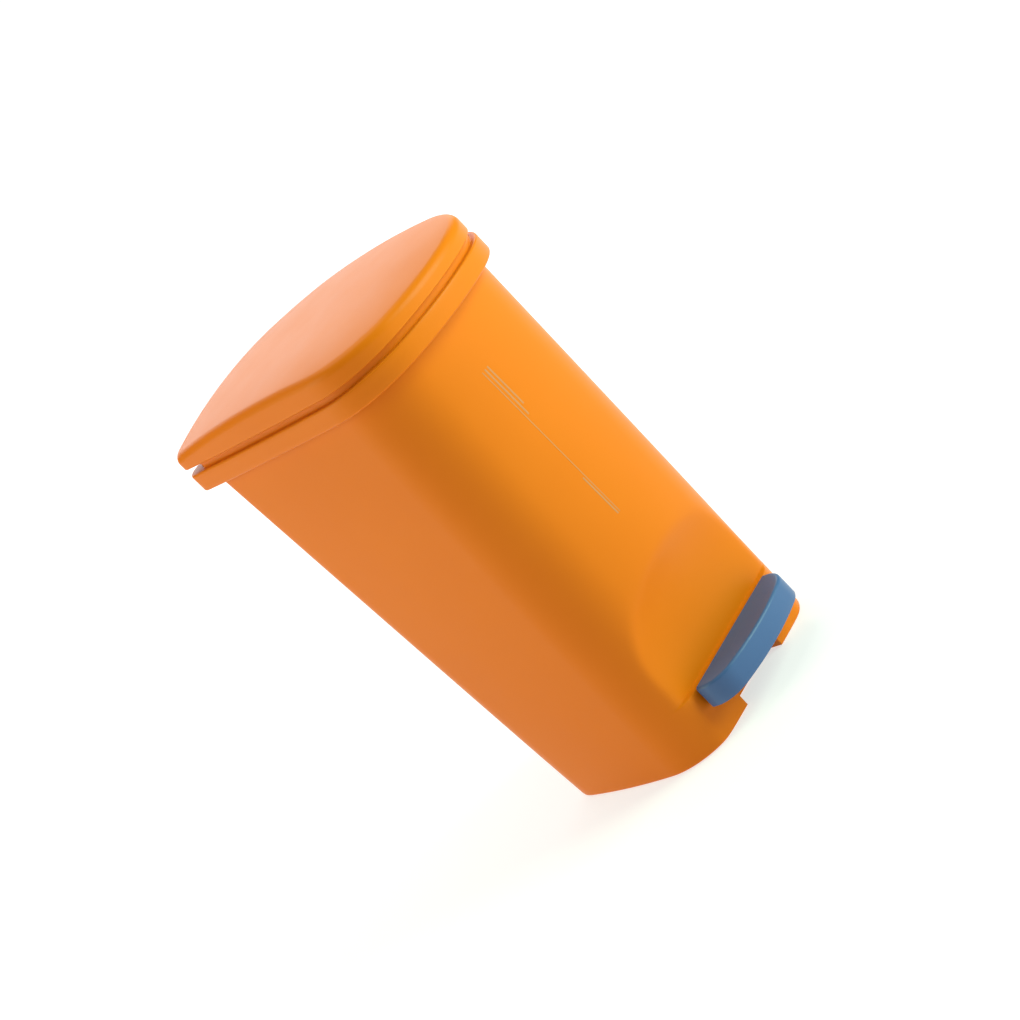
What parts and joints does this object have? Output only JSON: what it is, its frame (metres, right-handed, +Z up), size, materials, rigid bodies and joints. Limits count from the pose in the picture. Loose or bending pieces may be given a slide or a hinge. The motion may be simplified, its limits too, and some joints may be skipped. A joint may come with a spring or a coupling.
{
  "type": "pedal waste bin",
  "caption": "Slim D-shaped step-on waste bin with a hinged lid, lift-out bucket, bag ring and a pedal that raises the lid through a push rod.",
  "frame": {"origin": "on the ground, under the middle of the whole plan", "axes": "+Z up, -Y towards the front with the pedal, +X to the bin's right-hand side as seen from above with the pedal at the bottom"},
  "size_m": [0.1692, 0.2438, 0.3701],
  "materials": {
    "orange_plastic": "satin moulded polypropylene",
    "orange_inner_plastic": "fine-textured moulded polypropylene",
    "blue_plastic": "satin moulded polypropylene",
    "grey_plastic": "satin moulded polypropylene",
    "black_plastic": "plain moulded nylon",
    "steel": "zinc-plated wire and rod",
    "rubber": "soft rubber"
  },
  "bodies": {
    "bin": {"outer_shell": "orange_plastic", "rim_collar": "orange_plastic", "bag_ring": "grey_plastic", "inner_bucket": "grey_plastic", "bail_grip": "black_plastic", "bail_handle": "steel", "hinge_pin": "steel", "hinge_pin_caps": "black_plastic", "rod_guide_lower": "black_plastic", "rod_guide_upper": "black_plastic", "rod_guard": "black_plastic", "pedal_axle": "steel", "axle_clips": "steel", "axle_cap_right": "black_plastic", "axle_cap_left": "black_plastic", "cap_screws": "steel", "pedal_rest_pad": "rubber", "base_frame": "black_plastic", "bucket_deck": "black_plastic", "deck_screws": "steel", "base_screws": "steel", "foot_pads": "rubber"},
    "lid": {"lid_cover": "orange_plastic", "lid_liner": "orange_inner_plastic", "lid_hinge_bracket": "black_plastic", "lid_buffers": "rubber", "liner_screws": "steel", "bracket_screws": "steel"},
    "pedal": {"pedal_tread": "blue_plastic", "pedal_lever": "black_plastic", "tread_screws": "steel"},
    "push_rod": {"push_rod": "steel"}
  },
  "joints": [
    {"name": "lid_hinge", "type": "hinge", "parent": "bin", "child": "lid", "pos_m": [0, 0.1141, 0.3545], "axis": [-1, 0, 0], "range_deg": [0, 80]},
    {"name": "rod_slide", "type": "slide", "parent": "bin", "child": "push_rod", "axis": [0, 0.1174, 0.9931], "range_m": [0, 0.0225]},
    {"name": "pedal_hinge", "type": "hinge", "parent": "bin", "child": "pedal", "pos_m": [0, -0.0359, 0.018], "axis": [1, 0, 0], "range_deg": [0, 13]}
  ],
  "couplings": [
    {"joint": "rod_slide", "follows": "lid_hinge", "m_per_rad": 0.016114},
    {"joint": "pedal_hinge", "follows": "lid_hinge", "ratio": 0.1625}
  ]
}
